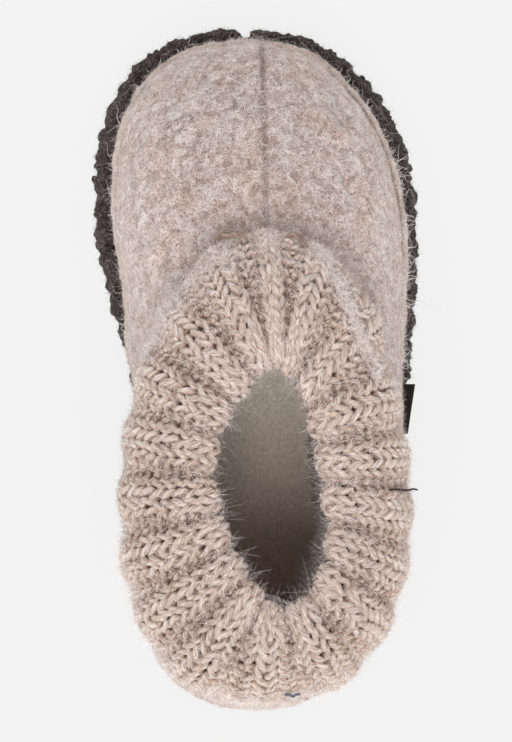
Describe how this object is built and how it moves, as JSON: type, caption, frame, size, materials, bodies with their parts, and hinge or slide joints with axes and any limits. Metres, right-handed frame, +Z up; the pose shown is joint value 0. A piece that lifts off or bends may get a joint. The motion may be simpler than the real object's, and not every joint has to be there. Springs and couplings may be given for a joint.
{
  "type": "slipper",
  "caption": "Toddler's wool house slipper for the right foot: boiled-wool upper, slouched rib-knit cuff, felt footbed and a thick dark felted-wool sole.",
  "frame": {"origin": "on the floor, under the middle of the sole", "axes": "+Y towards the toe, +X towards the outer side of the foot, +Z up"},
  "size_m": [0.0774, 0.1591, 0.0813],
  "materials": {
    "dark_felted_wool": "matt, knobbly",
    "grey_felt": "matt",
    "boiled_wool": "matt, fuzzy",
    "rib_knit_wool": "matt, fuzzy",
    "dark_ribbon": "satin"
  },
  "bodies": {
    "root": {"outsole": "dark_felted_wool", "insole": "grey_felt", "upper": "boiled_wool", "rib_cuff": "rib_knit_wool", "side_tab": "dark_ribbon"}
  },
  "joints": []
}
